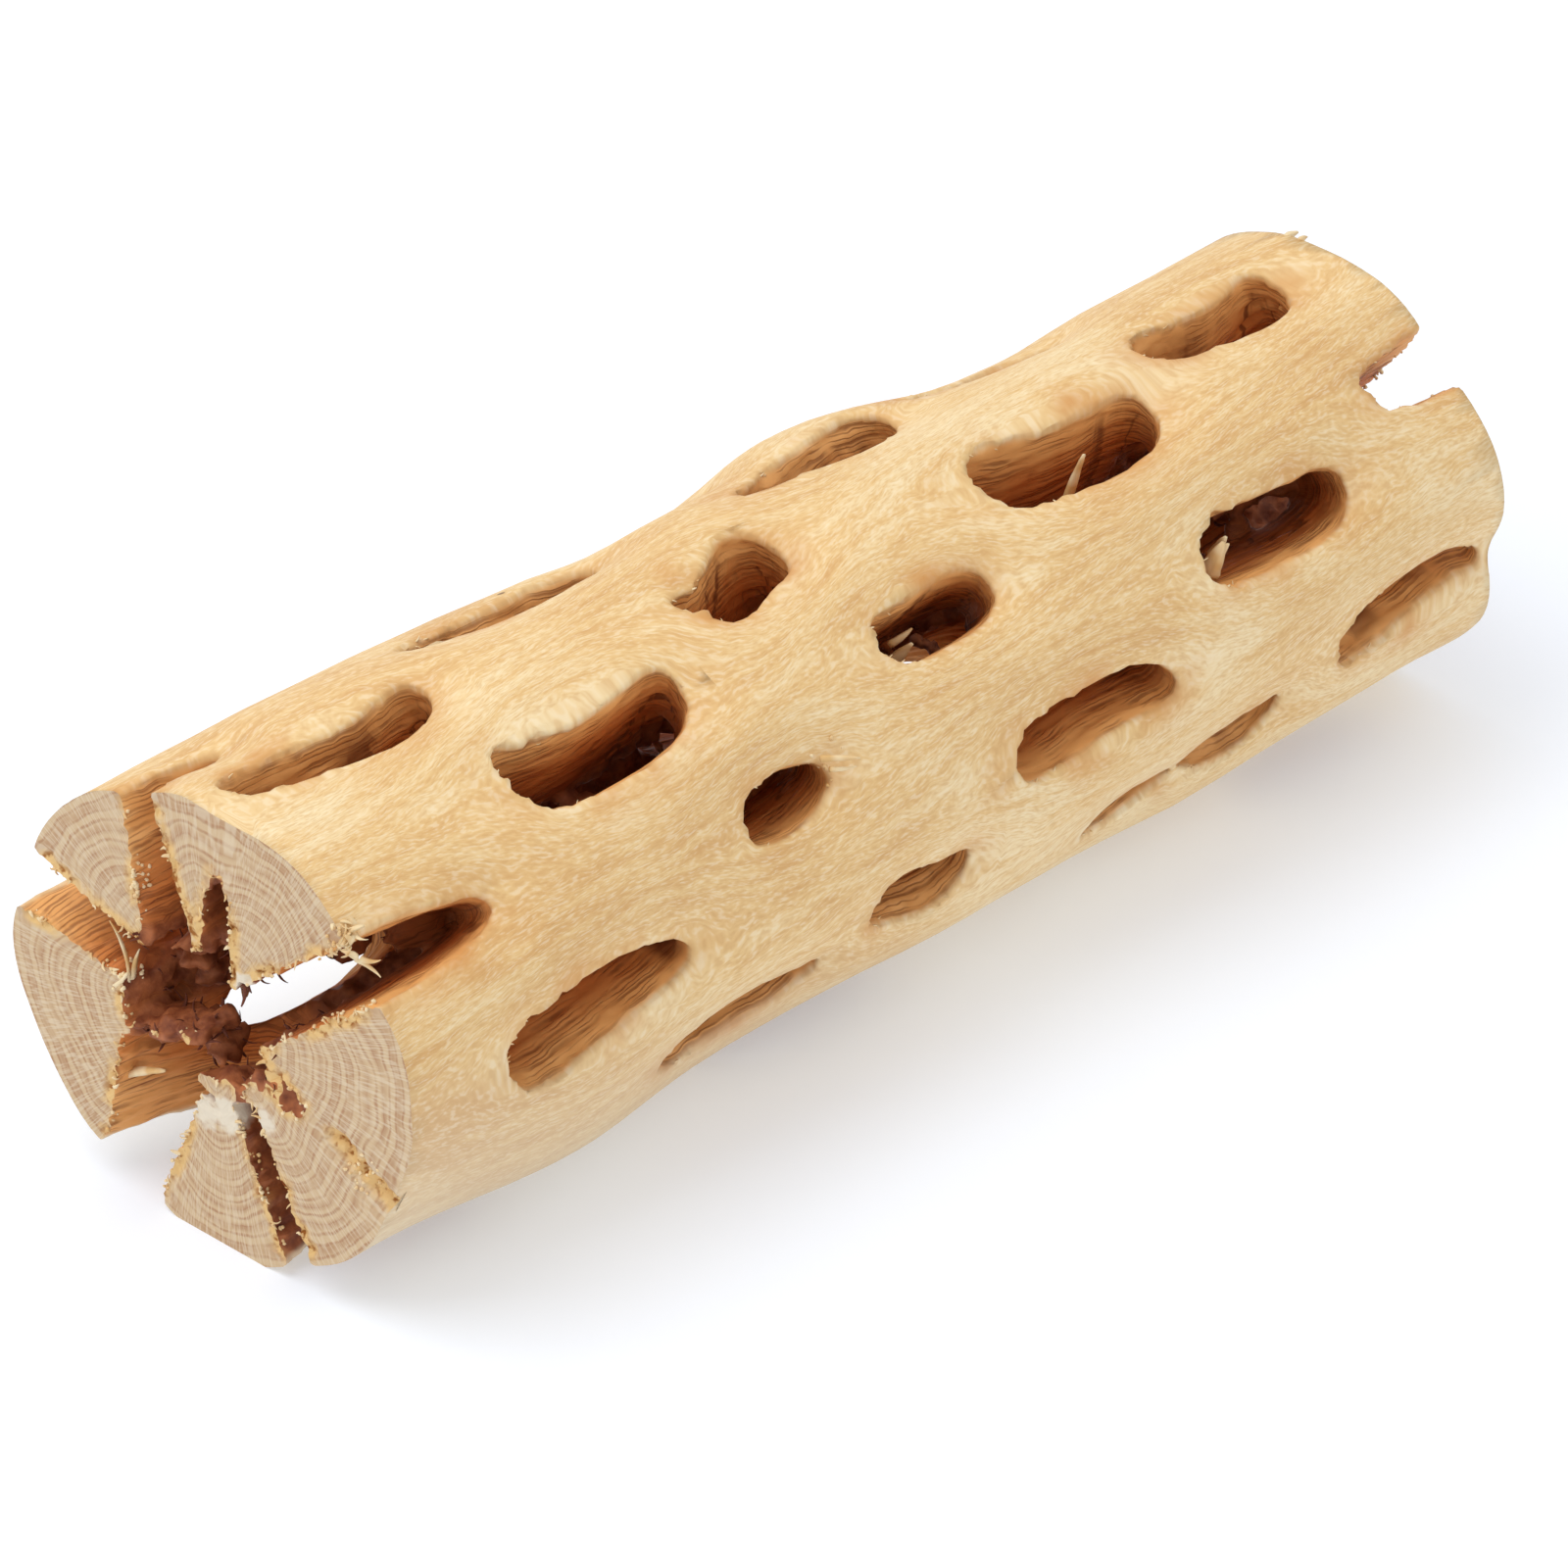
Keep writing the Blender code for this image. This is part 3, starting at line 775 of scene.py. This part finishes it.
def makeTornFibres(bareLog, holes, depth, torn, fibreWood, driedPith):
    draw = random.Random(23)
    shape = bmesh.new()
    template = startFibres(shape)

    def wild(size):
        return Vector((draw.uniform(-1, 1), draw.uniform(-1, 1), draw.uniform(-1, 1))) * size

    points, normals = (vectorsOf(bareLog.data.vertices, "co"), vectorsOf(bareLog.data.vertex_normals, "vector"))
    clumps = [row for row in torn if noise.noise(row[0] / (4 * mm)) > -0.15]
    lengths, halves, curls = fibreShapes["sawn"]
    for start, gap, outward in draw.sample(clumps, min(fibreCounts["sawn"], len(clumps))):
        reach = (gap * draw.uniform(0.1, 0.8) + outward * draw.uniform(-0.4, 0.7) + wild(0.8)).normalized()
        size = draw.uniform(*halves)
        root = start - reach * 0.4 * mm
        reach *= draw.uniform(*lengths) * mm
        addFibre(shape, template, root, reach, draw, (size, size * 0.6), draw.uniform(*curls))
    chosen = draw.choices(clumps, k=fibreCounts["crumbs"])
    crumbs = [row[0] + wild(0.35 * mm) - row[2] * draw.uniform(0, 1.2) * mm for row in chosen]
    for middle, spread, count in crumbHeaps:
        near = np.flatnonzero(np.linalg.norm(points - np.array(placeAt(*middle)), axis=1) < spread * mm)
        crumbs += [Vector(points[number]) + wild(0.2 * mm) for number in draw.choices(list(near), k=count)]
    for place in crumbs:
        size = draw.uniform(0.15, 0.36) * mm
        for point in bmesh.ops.create_icosphere(shape, subdivisions=1, radius=1)["verts"]:
            point.co = place + Vector(axis * size * draw.uniform(0.6, 1.3) for axis in point.co)
    x, angle, _ = placeOf(points)
    facing = facingOut(normals, angle)
    lips = (depth > 0.3) & (depth < 1.6) & (facing > 0.1) & (facing < 0.75) & (fromSawCut(x) >= 5 * mm)
    lips &= raggedness(x, angle, holes) > 0.5
    lengths, halves, curls = fibreShapes["lips"]
    for number in draw.sample(list(np.flatnonzero(lips)), fibreCounts["lips"]):
        start, normal = Vector(points[number]), Vector(normals[number])
        reach = (normal * draw.uniform(0.3, 0.9) + Vector((draw.uniform(0, 1), 0, 0)) + wild(0.4)).normalized()
        size = draw.uniform(*halves)
        root = start - normal * 0.15 * mm
        reach *= draw.uniform(*lengths) * mm
        addFibre(shape, template, root, reach, draw, (size, size * 0.7), draw.uniform(*curls))
    for begin, end, half, thick, curl in splinters:
        start = placeAt(*begin)
        addFibre(shape, template, start, placeAt(*end) - start, draw, (half, thick), curl)
    for _ in range(shavings["count"]):
        along, turn = draw.uniform(*shavings["x"]), draw.uniform(*shavings["angle"])
        reach = outwardAt(turn) * draw.uniform(0.1, 0.7) + tangentAt(turn) * draw.uniform(-0.2, 1.0) + wild(0.5)
        reach = reach.normalized() * draw.uniform(*shavings["length"]) * mm
        size = (draw.uniform(*shavings["half"]), 0.13)
        addFibre(shape, template, placeAt(along, turn, 32.4), reach, draw, size, draw.uniform(*shavings["curl"]))
    pale = len(shape.faces)
    for number in range(5):  # the shred of pith that hangs below the tip, and threads beside it
        start = placeAt(-98.2 + number * 0.8, 31 - number * 4, 10.2)
        reach = Vector((0.2, -0.4, -3.2 + number * 0.5)) * mm + wild(0.6 * mm)
        addFibre(shape, template, start, reach, draw, (0.45 - number * 0.05, 0.25), draw.uniform(0.3, 1.2))
    pithy = (coreDistance(points) < 13.5 * mm) & (depth > 12) & (nearness(points, paleFelts) < 0.1)
    nearEnd = pithy & (x < logShape["nearCut"]["x"] + 18 * mm)
    chosen = [draw.choices(list(np.flatnonzero(where)), k=fibreCounts["pith"] // 2) for where in (nearEnd, pithy)]
    lengths, halves, curls = fibreShapes["pith"]
    for number in chosen[0] + chosen[1]:
        start, normal = Vector(points[number]), Vector(normals[number])
        reach = (normal * draw.uniform(0.2, 0.9) + wild(0.8)).normalized() * draw.uniform(*lengths) * mm
        size = draw.uniform(*halves)
        addFibre(shape, template, start - normal * 0.2 * mm, reach, draw, (size, size * 0.6), draw.uniform(*curls))
    for number, face in enumerate(shape.faces):
        face.material_index = 1 if number >= pale else 0
        face.smooth = True
    endFibres(shape, template)
    piece = finishShape(shape, "tornFibres")
    piece.data.materials.append(fibreWood)
    piece.data.materials.append(driedPith)
    print("fibres:", len(piece.data.polygons))
    return piece


def linear(hexColour):  # sRGB hex to the linear colour that a shader takes
    parts = [int(hexColour[i:i + 2], 16) / 255 for i in (1, 3, 5)]
    return [part / 12.92 if part <= 0.04045 else ((part + 0.055) / 1.055) ** 2.4 for part in parts] + [1]


def addNode(tree, kind, inputs=None, out=0, stops=(), **settings):  # gives back the named output
    made = tree.nodes.new("ShaderNode" + kind)
    for name, value in settings.items():
        setattr(made, name, value)
    for name, value in (inputs or {}).items():
        if isinstance(value, bpy.types.NodeSocket):
            tree.links.new(value, made.inputs[name])
        else:
            made.inputs[name].default_value = value
    for number, (place, colour) in enumerate(stops):
        ramp = made.color_ramp.elements
        stop = ramp[number] if number < 2 else ramp.new(place)
        stop.position = place
        stop.color = colour
    return made.outputs[out]


def newMaterial(name, finish):
    material = bpy.data.materials.new(name)
    material.use_nodes = True
    tree = material.node_tree
    shader = tree.nodes["Principled BSDF"]
    shader.inputs["Roughness"].default_value = finish["roughness"]
    colours = {name: linear(value) for name, value in finish.items() if isinstance(value, str)}
    return material, tree, shader, colours


def growthLines(tree, depth, rows):  # rows of spacing in mm, how narrow, share
    line = 0.0
    for spacing, start, share in rows:
        wave = addNode(tree, "Math", {0: depth, 1: 2 * math.pi / spacing}, operation="MULTIPLY")
        wave = addNode(tree, "Math", {0: wave}, operation="SINE")
        wave = addNode(tree, "MapRange", {"Value": wave, "From Min": start, "From Max": 1.0, "To Max": share})
        line = addNode(tree, "Math", {0: line, 1: wave}, operation="MAXIMUM")
    return line


# Bare cactus wood, weathered and unsealed: pale straw with short faint ripples that run round the holes,
# orange to dark brown inside them, where each growth layer shows as a line. The darkening deep in the holes
# is partly the wood's own colour and partly painted shade.
woodFinish = {
    "pale": "#F1D8A9",
    "straw": "#E8C48A",
    "tan": "#DBAF74",
    "fleckDark": "#CB9A60",
    "fleckPale": "#FBEDD0",
    "orange": "#D2924E",
    "dust": "#D6CBB6",
    "pit": "#6E4726",
    "wallPale": "#ECAF6A",
    "wallOrange": "#DC8846",
    "wallBrown": "#BC6C38",
    "wallDark": "#8A4A2A",
    "pith": "#74391F",
    "pithPale": "#B86E42",
    "felt": "#E3D6C0",
    # dark brown of the growth-layer lines, also used as the painted shade in the slits between the wall's fibres
    "layerLineAndSlitShade": "#7C4220",
    "fleck": (1.35, 0.38),  # length and width in mm: drawn a little coarse, so that they show in the render
    "fleckShare": 0.36,
    "streak": (14, 1.8),
    "wander": 1.8,
    "layers": ((2.3, 0.6, 1), (0.8, 0.35, 1)),  # as the rings below
    "roughness": 0.62,
}


def makeWoodMaterial():
    finish = woodFinish
    material, tree, shader, colour = newMaterial("weatheredCactusWood", finish)
    grain = addNode(tree, "Attribute", out="Vector", attribute_name="grain")
    depth, pith, felt, shoulder, nearSawnEnd = (
        addNode(tree, "Attribute", out="Fac", attribute_name=name)
        for name in ("depth", "pith", "felt", "shoulder", "nearSawnEnd")
    )
    place = addNode(tree, "TexCoord", out="Object")
    stir, broken, patch, warmth, fuzz, drift = (
        addNode(tree, "TexNoise", {"Vector": place, "Scale": scale, "Detail": detail})
        for scale, detail in ((110, 3), (170, 2), (38, 2), (90, 2), (420, 4), (14, 1))
    )

    # The ripples wander a little
    wobble = addNode(tree, "TexNoise", {"Vector": grain, "Scale": 0.2, "Detail": 1.0}, "Color")
    wobble = addNode(tree, "VectorMath", {0: wobble, 1: (0.5, 0.5, 0.5)}, operation="SUBTRACT")
    sideways = (0, finish["wander"], finish["wander"])
    wobble = addNode(tree, "VectorMath", {0: wobble, 1: sideways}, operation="MULTIPLY")
    wandering = addNode(tree, "VectorMath", {0: grain, 1: wobble}, operation="ADD")
    marks = []
    for (length, width), detail in ((finish["fleck"], 1.5), (finish["streak"], 2.0)):
        mapped = addNode(tree, "Mapping", {"Vector": wandering, "Scale": (1 / length, 1 / width, 1 / width)})
        marks.append(addNode(tree, "TexNoise", {"Vector": mapped, "Scale": 1.0, "Detail": detail}))
    fleck, streak = marks
    both = addNode(tree, "Math", {0: streak, 1: patch}, operation="ADD")
    both = addNode(tree, "Math", {0: drift, 1: 0.5, 2: both}, operation="MULTIPLY_ADD")
    both = addNode(tree, "MapRange", {"Value": both, "From Min": 0.96, "From Max": 1.58})
    stops = ((0.0, colour["tan"]), (1.0, colour["pale"]), (0.45, colour["straw"]))
    skin = addNode(tree, "ValToRGB", {0: both}, stops=stops)
    along, height = (addNode(tree, "SeparateXYZ", {0: place}, axis) for axis in "XZ")
    low = addNode(tree, "Math", {0: along, 1: 0.25, 2: height}, operation="MULTIPLY_ADD")
    spots = addNode(tree, "TexVoronoi", {"Vector": place, "Scale": 52.0}, "Distance")
    warmest = addNode(tree, "Math", {0: shoulder, 1: 0.85}, operation="MULTIPLY")
    tints = (
        (fleck, 0.5, 0.68, finish["fleckShare"], "fleckDark"),
        (fleck, 0.49, 0.33, finish["fleckShare"], "fleckPale"),
        (warmth, 0.44, 0.7, warmest, "orange"),
        (low, 0.02, -0.012, 0.6, "dust"),
        (spots, 0.034, 0.022, 0.85, "pit"),
    )
    for value, start, end, most, name in tints:
        share = addNode(tree, "MapRange", {"Value": value, "From Min": start, "From Max": end, "To Max": most})
        skin = addNode(tree, "Mix", {"Factor": share, "A": skin, "B": colour[name]}, "Result", data_type="RGBA")

    # Inside the holes: fibres along the log, lines at the growth layers, darker towards the pith, partly the wood's
    # own colour and partly painted shade deep in the holes
    mapped = addNode(tree, "Mapping", {"Vector": grain, "Scale": (0.09, 1.2, 1.2)})
    fibre = addNode(tree, "TexNoise", {"Vector": mapped, "Scale": 1.0, "Detail": 3.0})
    # partly painted shade: the wall colour darkens with depth into the wood, and is drawn paler near the sawn ends
    shade = depth
    for value, amount in ((stir, 8.0), (fibre, 7.0), (nearSawnEnd, -4.0)):
        shade = addNode(tree, "Math", {0: value, 1: amount, 2: shade}, operation="MULTIPLY_ADD")
    shade = addNode(tree, "MapRange", {"Value": shade, "From Min": 11.5, "From Max": 35.0})
    shades = ((0.0, "wallPale"), (1.0, "wallDark"), (0.28, "wallOrange"), (0.62, "wallBrown"))
    stops = [(share, colour[name]) for share, name in shades]
    wall = addNode(tree, "ValToRGB", {0: shade}, stops=stops)
    layers = addNode(tree, "Math", {0: stir, 1: 3.2, 2: depth}, operation="MULTIPLY_ADD")
    gap = addNode(tree, "MapRange", {"Value": broken, "From Min": 0.4, "From Max": 0.6, "To Max": 0.62})
    line = growthLines(tree, layers, finish["layers"])
    line = addNode(tree, "Math", {0: line, 1: gap}, operation="MULTIPLY")
    deep = addNode(tree, "MapRange", {"Value": depth, "From Min": 1.5, "From Max": 5.0, "To Max": 0.85})
    # painted shade: the slits between the fibre ridges are drawn dark where the bump sinks, deeper than 1.5 mm
    slitShade = addNode(tree, "MapRange", {"Value": fibre, "From Min": 0.43, "From Max": 0.32})
    slitShade = addNode(tree, "Math", {0: slitShade, 1: deep}, operation="MULTIPLY")
    lint = addNode(tree, "ValToRGB", {0: fuzz}, stops=((0.35, colour["pith"]), (0.7, colour["pithPale"])))
    pithShare = addNode(tree, "Math", {0: stir, 1: 0.9, 2: pith}, operation="MULTIPLY_ADD")
    pithShare = addNode(tree, "MapRange", {"Value": pithShare, "From Min": 0.78, "From Max": 1.2})
    feltShare = addNode(tree, "Math", {0: fuzz, 1: 0.7, 2: felt}, operation="MULTIPLY_ADD")
    feltShare = addNode(tree, "MapRange", {"Value": feltShare, "From Min": 0.75, "From Max": 1.05})
    dark = colour["layerLineAndSlitShade"]
    for share, over in ((line, dark), (slitShade, dark), (pithShare, lint), (feltShare, colour["felt"])):
        wall = addNode(tree, "Mix", {"Factor": share, "A": wall, "B": over}, "Result", data_type="RGBA")

    edge = addNode(tree, "Math", {0: stir, 1: 0.8, 2: depth}, operation="MULTIPLY_ADD")
    within = {"Value": edge, "From Min": 0.75, "From Max": 1.9}
    inside = addNode(tree, "MapRange", within, interpolation_type="SMOOTHSTEP")
    wood = addNode(tree, "Mix", {"Factor": inside, "A": skin, "B": wall}, "Result", data_type="RGBA")
    tree.links.new(wood, shader.inputs["Base Color"])
    shader.inputs["Specular IOR Level"].default_value = 0.3
    ripple = addNode(tree, "Math", {0: fleck, 1: 0.55}, operation="MULTIPLY")
    grooves = addNode(tree, "Math", {0: line, 1: -0.6, 2: fibre}, operation="MULTIPLY_ADD")
    lumps = addNode(tree, "Math", {0: fuzz, 1: 2.0}, operation="MULTIPLY")
    rough = addNode(tree, "Mix", {"Factor": inside, "A": ripple, "B": grooves}, "Result")
    rough = addNode(tree, "Mix", {"Factor": pithShare, "A": rough, "B": lumps}, "Result")
    bump = addNode(tree, "Bump", {"Height": rough, "Strength": 0.6, "Distance": 0.28 * mm}, "Normal")
    tree.links.new(bump, shader.inputs["Normal"])
    return material


# The sawn ends: pale beige, with pinkish growth rings that bend in beside the holes, crossed by fine pale rays.
# The rays are drawn a little coarse, so that they show in the render.
sawnFinish = {
    "beige": "#CEB28D",
    "ring": "#A67553",
    "ray": "#E1D0B4",
    "crumbly": "#E3BC7C",
    "pit": "#A0662F",
    "felt": "#E3D6C0",
    "rings": ((2.6, -0.2, 0.55), (1.15, 0.1, 0.75)),  # spacing in mm, how narrow, share
    "raySpacing": 0.42,
    "roughness": 0.8,
}


def makeSawnMaterial():
    finish = sawnFinish
    material, tree, shader, colour = newMaterial("sawnEndGrain", finish)
    grain = addNode(tree, "Attribute", out="Vector", attribute_name="grain")
    ringDepth, crumb, felt = (
        addNode(tree, "Attribute", out="Fac", attribute_name=name) for name in ("ringDepth", "crumb", "felt")
    )
    place = addNode(tree, "TexCoord", out="Object")
    stir, patchy, fuzz = (
        addNode(tree, "TexNoise", {"Vector": place, "Scale": scale, "Detail": detail})
        for scale, detail in ((150, 3), (210, 2), (800, 2))
    )
    wavy = addNode(tree, "Math", {0: stir, 1: 2.4, 2: ringDepth}, operation="MULTIPLY_ADD")
    ring = growthLines(tree, wavy, finish["rings"])
    gap = addNode(tree, "MapRange", {"Value": patchy, "From Min": 0.3, "From Max": 0.56, "To Min": 0.35})
    ring = addNode(tree, "Math", {0: ring, 1: gap}, operation="MULTIPLY")

    across = 1 / finish["raySpacing"]
    mapped = addNode(tree, "Mapping", {"Vector": grain, "Scale": (0, across, across)})
    inward = addNode(tree, "Math", {0: wavy, 1: 0.45}, operation="MULTIPLY")
    inward = addNode(tree, "CombineXYZ", {"X": inward})
    mapped = addNode(tree, "VectorMath", {0: mapped, 1: inward}, operation="ADD")
    ray = addNode(tree, "TexNoise", {"Vector": mapped, "Scale": 1.0, "Detail": 1.0})
    ray = addNode(tree, "MapRange", {"Value": ray, "From Min": 0.45, "From Max": 0.62, "To Max": 0.5})
    torn = addNode(tree, "Math", {0: fuzz, 1: 0.5, 2: crumb}, operation="MULTIPLY_ADD")
    torn = addNode(tree, "MapRange", {"Value": torn, "From Min": 0.5, "From Max": 0.95, "To Max": 0.85})
    pits = addNode(tree, "MapRange", {"Value": fuzz, "From Min": 0.47, "From Max": 0.36})
    crumbled = addNode(tree, "MapRange", {"Value": crumb, "From Min": 0.3, "From Max": 0.75})
    pits = addNode(tree, "Math", {0: pits, 1: crumbled}, operation="MULTIPLY")
    feltShare = addNode(tree, "Math", {0: fuzz, 1: 0.7, 2: felt}, operation="MULTIPLY_ADD")
    feltShare = addNode(tree, "MapRange", {"Value": feltShare, "From Min": 0.8, "From Max": 1.1})
    face = colour["beige"]
    for share, name in ((ring, "ring"), (ray, "ray"), (torn, "crumbly"), (pits, "pit"), (feltShare, "felt")):
        face = addNode(tree, "Mix", {"Factor": share, "A": face, "B": colour[name]}, "Result", data_type="RGBA")
    tree.links.new(face, shader.inputs["Base Color"])
    shader.inputs["Specular IOR Level"].default_value = 0.25
    height = addNode(tree, "Math", {0: ray, 1: 0.5, 2: ring}, operation="MULTIPLY_ADD")
    height = addNode(tree, "Math", {0: fuzz, 1: 0.8, 2: height}, operation="MULTIPLY_ADD")
    bump = addNode(tree, "Bump", {"Height": height, "Strength": 0.4, "Distance": 0.15 * mm}, "Normal")
    tree.links.new(bump, shader.inputs["Normal"])
    return material


# Loose fibres and crumbs of the same wood, pale and yellow in random patches, and shreds of dried pith
fibreFinish = {"pale": "#F1DCB2", "yellow": "#DCB274", "roughness": 0.7}
pithFinish = {"pith": "#64301C", "roughness": 0.9}


def makeFibreMaterial():
    material, tree, shader, colour = newMaterial("tornFibre", fibreFinish)
    place = addNode(tree, "TexCoord", out="Object")
    patch = addNode(tree, "TexNoise", {"Vector": place, "Scale": 300.0, "Detail": 1.0})
    stops = ((0.35, colour["yellow"]), (0.6, colour["pale"]))
    tree.links.new(addNode(tree, "ValToRGB", {0: patch}, stops=stops), shader.inputs["Base Color"])
    return material


def makePithMaterial():
    material, _, shader, colour = newMaterial("driedPith", pithFinish)
    shader.inputs["Base Color"].default_value = colour["pith"]
    return material


# White paper, its shadow kept soft and neutral by a faint glow and a cool tint, under one large softbox
studio = {
    "floor": "#DCE2EC",
    "roughness": 0.9,
    "floorGlow": 0.27,
    "world": 0.8,
    "keyPower": 5.0,
    "keySize": 0.8,
    "keyPlace": (-0.38, 0.28, 1.0),
}


def makeStudio():
    shape = bmesh.new()
    bmesh.ops.create_grid(shape, x_segments=2, y_segments=2, size=4)
    floor = finishShape(shape, "floor")
    material, _, shader, colour = newMaterial("whitePaper", studio)
    shader.inputs["Base Color"].default_value = colour["floor"]
    shader.inputs["Emission Color"].default_value = (1, 1, 1, 1)
    shader.inputs["Emission Strength"].default_value = studio["floorGlow"]
    floor.data.materials.append(material)
    world = bpy.data.worlds.new("studio")
    bpy.context.scene.world = world
    world.use_nodes = True
    world.node_tree.nodes["Background"].inputs["Color"].default_value = (1, 1, 1, 1)
    world.node_tree.nodes["Background"].inputs["Strength"].default_value = studio["world"]
    light = bpy.data.lights.new("softbox", "AREA")
    light.energy = studio["keyPower"]
    light.size = studio["keySize"]
    lamp = bpy.data.objects.new("softbox", light)
    lamp.location = studio["keyPlace"]
    lamp.rotation_euler = (-Vector(studio["keyPlace"])).to_track_quat("-Z", "Y").to_euler()
    bpy.context.scene.collection.objects.link(lamp)
    bpy.context.scene.view_settings.view_transform = "Standard"


# From where the photo was taken
photoView = {
    "azimuth": -41.8,
    "elevation": 36.1,
    "distance": 1139 * mm,
    "aim": (-1.54 * mm, -0.53 * mm, 23.8 * mm),
    "lens": 200,
}


def makeCamera():
    azimuth, elevation = math.radians(photoView["azimuth"]), math.radians(photoView["elevation"])
    level = math.cos(elevation)
    back = Vector((math.sin(azimuth) * level, -math.cos(azimuth) * level, math.sin(elevation)))
    data = bpy.data.cameras.new("camera")
    data.lens = photoView["lens"]
    data.sensor_width = 36
    camera = bpy.data.objects.new("camera", data)
    camera.location = Vector(photoView["aim"]) + back * photoView["distance"]
    camera.rotation_euler = (-back).to_track_quat("-Z", "Y").to_euler()
    bpy.context.scene.collection.objects.link(camera)
    bpy.context.scene.camera = camera


makeCamera()
makeStudio()
bareLog, holes, depth, torn = makeLog(makeWoodMaterial(), makeSawnMaterial())
tornFibres = makeTornFibres(bareLog, holes, depth, torn, makeFibreMaterial(), makePithMaterial())
for piece in (bareLog, tornFibres):
    piece.data.transform(Matrix.Translation((-logShape["boxMiddle"][0], -logShape["boxMiddle"][1], 0)))
    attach(piece, "root")
    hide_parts("driftwood_log")
